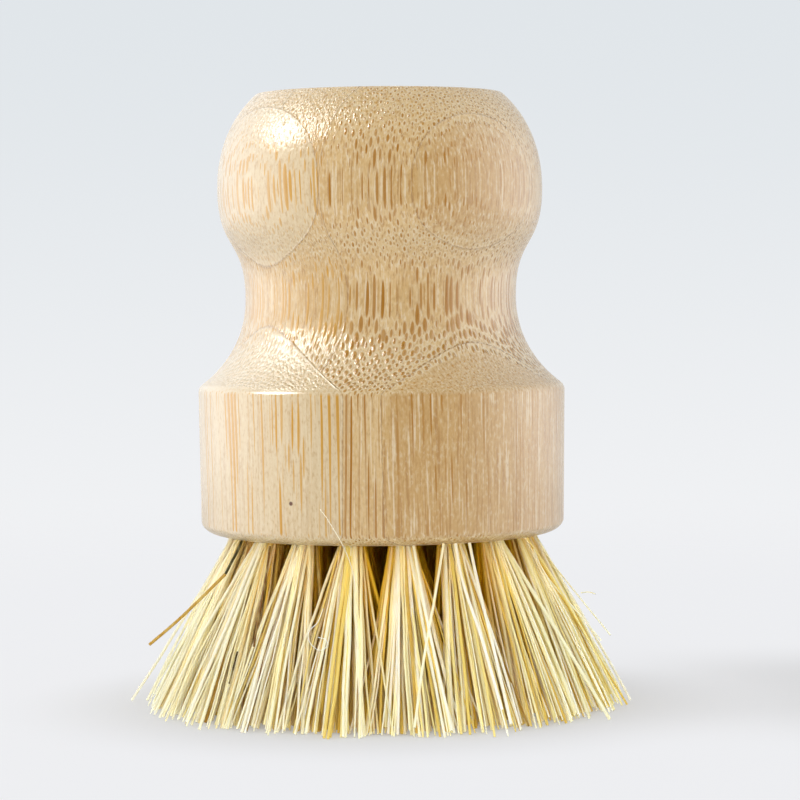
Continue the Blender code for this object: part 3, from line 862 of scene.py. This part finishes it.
def tuft_tree():
    """One tuft of separate fibres, in the plane of its lean, from the hole that they fill to their tips."""
    tree = bpy.data.node_groups.new("tuft_of_fibre", "GeometryNodeTree")
    inputs = {"Fibres": "Int", "Ring Radius": "Float", "Lean": "Float", "Outreach": "Float", "Seed": "Int"}
    given, made = add_sockets(tree, {**inputs, "Fibre": "Material"}, {"Geometry": "Geometry"})
    straight = result(tree, "GeometryNodeCurvePrimitiveLine")
    pointed = result(tree, "GeometryNodeResampleCurve", {"Curve": straight, "Count": FIBRE_POINTS})
    starts = result(tree, "GeometryNodePoints", {"Count": given["Fibres"]})
    copies = result(tree, "GeometryNodeInstanceOnPoints", {"Points": starts, "Instance": pointed})
    strands = result(tree, "GeometryNodeRealizeInstances", {"Geometry": copies})
    curve = add_node(tree, "GeometryNodeCurveOfPoint").outputs
    fibre, step = curve["Curve Index"], curve["Index in Curve"]

    def draw(number, low=0.0, high=1.0):
        """A random number for each fibre, not the same ones in two draws."""
        seed = maths(tree, "MULTIPLY_ADD", given["Seed"], DRAWS_PER_SEED, float(number))
        values = {2: low, 3: high, "ID": fibre, "Seed": seed}
        return add_node(tree, "FunctionNodeRandomValue", {"data_type": "FLOAT"}, values).outputs[1]

    # Where the fibre is packed in the mouth of the hole, on a spiral that fills the round evenly
    filled = maths(tree, "DIVIDE", maths(tree, "ADD", fibre, 0.5), given["Fibres"])
    root_radius = product(tree, maths(tree, "SQRT", filled), ROOT_SPREAD)
    root_angle = maths(tree, "MULTIPLY_ADD", fibre, GOLDEN_ANGLE, draw(1, 0.0, ROOT_JITTER))
    root_x = product(tree, root_radius, maths(tree, "COSINE", root_angle))
    root_y = product(tree, root_radius, maths(tree, "SINE", root_angle))
    mouth = combined(tree, maths(tree, "ADD", given["Ring Radius"], root_x), root_y, BRISTLE_LENGTH)

    # Where its tip is trimmed: mostly in line with the root, with some that stray across the tuft
    rare = maths(tree, "POWER", draw(2), STRAY_POWER)
    stray = maths(tree, "MULTIPLY_ADD", rare, FAR_STRAY_REACH, STRAY_REACH)
    stray_x = product(tree, draw(3, -1.0), stray)
    stray_y = product(tree, draw(4, -1.0), stray)
    out_x = maths(tree, "MULTIPLY_ADD", root_x, TIP_SPREAD / ROOT_SPREAD, given["Outreach"])
    tip_x = maths(tree, "ADD", maths(tree, "ADD", given["Ring Radius"], out_x), stray_x)
    tip_y = maths(tree, "MULTIPLY_ADD", root_y, TIP_FAN / ROOT_SPREAD, stray_y)
    uncut = maths(tree, "POWER", draw(5), TRIM_POWER)
    tip_z = maths(tree, "MULTIPLY_ADD", uncut, TRIM_UNEVENNESS, TRIM_HEIGHT)
    tip = combined(tree, tip_x, tip_y, tip_z)

    # From the mouth to the tip, with a slight bow and a finer wave
    below = maths(tree, "MAXIMUM", maths(tree, "SUBTRACT", step, 1.0), 0.0)
    fall = maths(tree, "DIVIDE", below, FIBRE_POINTS - 2.0)
    reach = scaled(tree, vector_maths(tree, "SUBTRACT", tip, mouth), fall)
    hump = product(tree, fall, maths(tree, "SUBTRACT", 1.0, fall))
    bow_x = product(tree, hump, draw(6, *BOW_OUTWARDS))
    bow_y = product(tree, hump, draw(7, *BOW_SIDEWAYS))
    phase = maths(tree, "MULTIPLY_ADD", fall, draw(8, *WAVE_TURNS), draw(9, *WAVE_STARTS))
    wave = product(tree, maths(tree, "SINE", phase), product(tree, hump, WAVE_HEIGHT))
    curved = combined(tree, maths(tree, "ADD", bow_x, wave), maths(tree, "SUBTRACT", bow_y, wave))
    # The first point of each fibre is up in the hole, along the hole's lean
    in_hole = maths(tree, "LESS_THAN", step, 0.5)
    up_x = product(tree, maths(tree, "SINE", given["Lean"]), -1.0)
    up_hole = combined(tree, up_x, z=maths(tree, "COSINE", given["Lean"]))
    packed = vector_maths(tree, "ADD", mouth, scaled(tree, up_hole, product(tree, in_hole, PACKED_DEPTH)))
    place = vector_maths(tree, "ADD", packed, vector_maths(tree, "ADD", reach, curved))
    laid = result(tree, "GeometryNodeSetPosition", {"Geometry": strands, "Position": place})

    uneven = product(tree, maths(tree, "POWER", draw(10), THICKNESS_POWER), FIBRE_RADIUS)
    thickness = maths(tree, "ADD", uneven, THINNEST_RADIUS)
    tapered = product(tree, thickness, between(tree, fall, 1.0, TIP_RADIUS_SHARE))
    toned = {"Geometry": laid, "Name": "tone", "Value": draw(11)}
    keep = {"data_type": "FLOAT", "domain": "POINT"}
    marked = result(tree, "GeometryNodeStoreNamedAttribute", toned, keep)
    section = result(tree, "GeometryNodeCurvePrimitiveCircle", {"Resolution": FIBRE_SIDES, "Radius": 1.0})
    swept = {"Curve": marked, "Profile Curve": section, "Scale": tapered, "Fill Caps": True}
    solid = result(tree, "GeometryNodeCurveToMesh", swept)
    real = result(tree, "GeometryNodeRealizeInstances", {"Geometry": solid})
    painted = result(tree, "GeometryNodeSetMaterial", {"Geometry": real, "Material": given["Fibre"]})
    tree.links.new(painted, made["Geometry"])
    return tree


fibre_look = fibre_material()
tuft = tuft_tree()
for seed, (ring, number, ring_radius, lean, angle) in enumerate(hole_places()):
    place = f"{ring}_{number:02d}" if ring != "centre" else ring
    fibres = grown(
        "fibres_" + place,
        tuft,
        {
            "Fibres": FIBRES_PER_TUFT,
            "Ring Radius": ring_radius,
            "Lean": lean,
            "Outreach": TIP_OUTREACH * ring_radius / OUTER_RING_RADIUS,
            "Seed": seed,
            "Fibre": fibre_look,
        },
    )
    fibres.data.transform(Matrix.Rotation(angle, 4, "Z"))
    fibres.data.shade_smooth()
    fibres.data.set_sharp_from_angle(angle=SHARP_FIBRE_ANGLE)
    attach(fibres, "root")
    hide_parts("tuft_" + place)


# A few fibres have worked loose: a dark kinked one on the left, thick ones that lie over the tufts, thin
# whiskers on the right and a hair that clings to the block. The photo shows these from the front only.
# Each has its radius, its tone and the points that it passes through, all lengths in millimetres.
KINK = (-22.9, -15.5, 21.2)
CURL = ((-9.9, -31.5, 12.7), (-8.4, -31.5, 12.0), (-7.8, -31.3, 13.2), (-9.1, -31.2, 13.8))
STRAYS = (
    (0.2, 0.0, ((-20.3, -13, 26.5), (-21.0, -14, 24.7), (-22.0, -15, 22.9), KINK)),
    (0.24, 0.015, (KINK, (-26.4, -16, 17.8), (-30.2, -15, 14.2), (-34.2, -14, 10.8))),
    (0.06, 1.0, ((-8.7, -26.4, 31.4), (-7.3, -28.2, 29.6), (-4.6, -29, 24.4), (-3.6, -30, 20.0))),
    (0.06, 1.0, ((-8.3, -29.5, 17.6), (-9.1, -30.5, 15.8), (-10.4, -31, 14.3), *CURL)),
    (0.13, 0.7, ((23.3, -6, 24.6), (24.6, -6, 22.4), (29.1, -6, 16.5), (33.9, -5, 10.5))),
    (0.13, 0.7, ((22.3, -9, 23.9), (23.8, -9, 20.5), (28.2, -9, 15.1), (32.3, -8, 10.1))),
    (0.07, 0.4, ((29.3, -8, 17.2), (30.5, -8, 17.3), (31.5, -8, 17.0))),
    (0.24, 0.9, ((12.5, -24, 26.2), (13.5, -27, 21.1), (15.6, -31, 12.1), (17.9, -34, 1.7))),
    (0.22, 0.8, ((4.5, -24.5, 26.1), (5.3, -27.5, 21.5), (7.1, -32, 12.2), (9.6, -36, 1.2))),
    (0.22, 1.0, ((10.5, -25, 26.2), (11.3, -28, 21.6), (13.9, -31.5, 13.6), (16.6, -35, 3.9))),
    (0.2, 0.6, ((8.8, -25, 26.2), (7.4, -29, 18.8), (5.8, -32.5, 10.8), (4.4, -36, 1.6))),
    # Two dark strands on the left, lower down
    (0.16, 0.005, ((-16.2, -19, 25.5), (-16.7, -22, 21.4), (-17.5, -25, 16.8), (-18.3, -27, 12.0))),
    (0.16, 0.001, ((-20.8, -24, 10.9), (-21.3, -25, 8.9), (-21.9, -26, 6.6))),
)
STRAY_STEPS = 5


def strand_mesh(radius, points):
    """A thin round strand through these points."""
    curve = bpy.data.curves.new("strand", "CURVE")
    curve.dimensions = "3D"
    curve.bevel_depth = radius / MM_PER_M
    curve.bevel_resolution = 1
    curve.use_fill_caps = True
    curve.resolution_u = STRAY_STEPS
    spline = curve.splines.new("BEZIER")
    spline.bezier_points.add(len(points) - 1)
    for knot, place in zip(spline.bezier_points, points):
        knot.co = Vector(place) / MM_PER_M
        knot.handle_left_type = "AUTO"
        knot.handle_right_type = "AUTO"
    strand = bpy.data.objects.new("strand", curve)
    bpy.context.scene.collection.objects.link(strand)
    mesh = bpy.data.meshes.new_from_object(strand.evaluated_get(bpy.context.evaluated_depsgraph_get()))
    bpy.data.objects.remove(strand, do_unlink=True)
    return mesh


bm = bmesh.new()
tones = []
for radius, tone, points in STRAYS:
    bm.from_mesh(strand_mesh(radius, points))
    tones += [tone] * (len(bm.verts) - len(tones))
strays = object_from("stray_fibres", bm)
strays.data.attributes.new("tone", "FLOAT", "POINT").data.foreach_set("value", tones)
strays.data.materials.append(fibre_look)
strays.data.shade_smooth()
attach(strays, "root")


# The studio: a pale table that fades into a pale backdrop. The table also glows by itself, less so close to
# the brush and in a band to the right, where its darker lit paint shows: partly the lamps' real shadow and
# partly painted shadow.
FLOOR_HALF_SIZE = 0.7
FLOOR_FADE = (0.15, 0.42)
TABLE_PAINT = srgb(243, 244, 246)
TABLE_GLOW = srgb(244, 245, 248)
TABLE_MIRROR_SHARE = 0.4
# Painted shadow, in part: where the glow is weaker, close to the brush and in a band to the right
GLOW_RADII = (0.025, 0.06)
GLOW_SHARES = (0.25, 0.8)
SHADOW_MIDDLE = 0.01
SHADOW_EDGES = (0.015, 0.06)
SHADOW_REACH = (0.025, 0.075)
SHADOW_SHARE = 0.45


def floor_material():
    material, tree, shader = new_material("table_top")
    tree.nodes.remove(shader)
    spots = add_node(tree, "ShaderNodeTexCoord").outputs["Object"]
    rays = add_node(tree, "ShaderNodeLightPath").outputs
    distance = vector_maths(tree, "LENGTH", spots)
    paint = result(tree, "ShaderNodeBsdfDiffuse", {"Color": TABLE_PAINT})
    glow = result(tree, "ShaderNodeEmission", {"Color": TABLE_GLOW})
    rightwards, backwards, _ = separated(tree, spots)
    # Painted shadow, in part: the glow is weaker close to the brush and in a band to the right, where the
    # darker lit paint shows
    from_band = maths(tree, "ABSOLUTE", maths(tree, "SUBTRACT", backwards, SHADOW_MIDDLE))
    in_band = ease(tree, from_band, *SHADOW_EDGES, SHADOW_SHARE, 0.0)
    dimming = product(tree, in_band, ease(tree, rightwards, *SHADOW_REACH))
    glow_share = maths(tree, "SUBTRACT", ease(tree, distance, *GLOW_RADII, *GLOW_SHARES), dimming)
    seen = maths(tree, "MAXIMUM", rays["Is Camera Ray"], rays["Is Diffuse Ray"])
    pale = result(tree, "ShaderNodeMixShader", {0: product(tree, seen, glow_share), 1: paint, 2: glow})
    # The lacquer mirrors the table only in part, and from below the table is clear, to show the brush
    mirrored = product(tree, rays["Is Glossy Ray"], 1.0 - TABLE_MIRROR_SHARE)
    faded = maths(tree, "MAXIMUM", ease(tree, distance, *FLOOR_FADE), mirrored)
    from_below = add_node(tree, "ShaderNodeNewGeometry").outputs["Backfacing"]
    open_share = maths(tree, "MAXIMUM", faded, from_below)
    clear = result(tree, "ShaderNodeBsdfTransparent")
    mixed = result(tree, "ShaderNodeMixShader", {0: open_share, 1: pale, 2: clear})
    tree.links.new(mixed, tree.nodes["Material Output"].inputs["Surface"])
    return material


bm = bmesh.new()
bmesh.ops.create_grid(bm, x_segments=1, y_segments=1, size=FLOOR_HALF_SIZE)
table = object_from("table_top", bm)
table.data.materials.append(floor_material())


# The light tent round the brush: how bright its walls are for what they light, how bright the panels are that
# the lacquer mirrors beside the backdrop, and a small bright window at the upper left.
LEFT_WALL = 0.18
RIGHT_WALL = 0.78
BACK_WALL = 1.0
FRONT_WALL = 0.96
FRONT_LEFT_WALL = 0.88
FRONT_LEFT_HEADING = (-0.5, -0.866, 0.0)
CEILING = 0.4
LEFT_PANEL = 2.2
RIGHT_PANEL = 1.75
PANEL_POWER = 3.0
PANEL_SLANT = 0.8
UPPER_PANEL = 1.3
UPPER_PANEL_POWER = 8.0
UPPER_PANEL_HEADING = (-0.38, 0.75, 0.54)
WINDOW = 10.0
WINDOW_HEADING = (-0.77, -0.09, 0.64)
WINDOW_EDGES = (0.97, 0.99)
WINDOW_DISTANCE = 0.62
WINDOW_SIZE = (0.24, 0.31)
WINDOW_POWER = 0.4
BACKDROP_EDGES = (-0.115, 0.1)
BACKDROP_FOOT = srgb(241, 242, 244)
BACKDROP_TOP = srgb(225, 230, 234)

world = bpy.data.worlds.new("studio_tent")
world.use_nodes = True
bpy.context.scene.world = world
sky = world.node_tree
headings = add_node(sky, "ShaderNodeTexCoord").outputs["Generated"]
to_right, to_back, to_top = separated(sky, headings)
to_left = product(sky, to_right, -1.0)
to_front = product(sky, to_back, -1.0)
to_front_left = vector_maths(sky, "DOT_PRODUCT", headings, FRONT_LEFT_HEADING)
to_upper = vector_maths(sky, "DOT_PRODUCT", headings, UPPER_PANEL_HEADING)
to_window = vector_maths(sky, "DOT_PRODUCT", headings, WINDOW_HEADING)
tent = 0.0
for side, strength in (
    (to_left, LEFT_WALL),
    (to_right, RIGHT_WALL),
    (to_back, BACK_WALL),
    (to_front, FRONT_WALL),
    (to_front_left, FRONT_LEFT_WALL),
    (to_top, CEILING),
):
    facing = maths(sky, "MAXIMUM", side, 0.0)
    tent = maths(sky, "MULTIPLY_ADD", product(sky, facing, facing), strength, tent)
panels = 0.0
for side, strength in ((to_left, LEFT_PANEL), (to_right, RIGHT_PANEL)):
    facing = maths(sky, "POWER", maths(sky, "MAXIMUM", side, 0.0), PANEL_POWER)
    panels = maths(sky, "MULTIPLY_ADD", facing, strength, panels)
panels = product(sky, panels, maths(sky, "MULTIPLY_ADD", to_back, PANEL_SLANT, 1.0))
facing = maths(sky, "POWER", maths(sky, "MAXIMUM", to_upper, 0.0), UPPER_PANEL_POWER)
panels = maths(sky, "MULTIPLY_ADD", facing, UPPER_PANEL, panels)
panels = maths(sky, "ADD", ease(sky, to_window, *WINDOW_EDGES, 0.0, WINDOW), panels)
backdrop = blended(sky, ease(sky, to_top, *BACKDROP_EDGES), BACKDROP_FOOT, BACKDROP_TOP)
behind = scaled(sky, backdrop, maths(sky, "MAXIMUM", to_back, 0.0))
mirrored = vector_maths(sky, "ADD", behind, combined(sky, panels, panels, panels))
lit = combined(sky, tent, tent, tent)
seen = add_node(sky, "ShaderNodeLightPath").outputs
in_mirror = maths(sky, "MAXIMUM", seen["Is Glossy Ray"], seen["Is Transmission Ray"])
shown = blended(sky, in_mirror, lit, mirrored)
sky.links.new(blended(sky, seen["Is Camera Ray"], shown, backdrop), sky.nodes["Background"].inputs["Color"])

# The window's own light, a soft box that faces the middle of the brush
window = bpy.data.lights.new("upper_left_window", "AREA")
window.shape = "RECTANGLE"
window.size, window.size_y = WINDOW_SIZE
window.energy = WINDOW_POWER
lamp = bpy.data.objects.new("upper_left_window", window)
heading = Vector(WINDOW_HEADING).normalized()
lamp.location = Vector((0, 0, 0.5 * cad_box[1].z)) + heading * WINDOW_DISTANCE
lamp.rotation_euler = heading.to_track_quat("Z", "Y").to_euler()
bpy.context.scene.collection.objects.link(lamp)


# The camera, square on to the brush and a little above it
CAMERA_PLACE = (0.00293, -0.451, 0.0651)
CAMERA_TILT = math.radians(87.536)
CAMERA_ROLL = math.radians(0.5)
CAMERA_LENS = 135
CAMERA_SENSOR = 36
CAMERA_CLIP_START = 0.05

camera = bpy.data.objects.new("camera", bpy.data.cameras.new("camera"))
camera.location = CAMERA_PLACE
camera.rotation_euler = (CAMERA_TILT, CAMERA_ROLL, 0)
camera.data.lens = CAMERA_LENS
camera.data.sensor_width = CAMERA_SENSOR
camera.data.clip_start = CAMERA_CLIP_START
bpy.context.scene.collection.objects.link(camera)
bpy.context.scene.camera = camera
bpy.context.scene.view_settings.view_transform = "Standard"
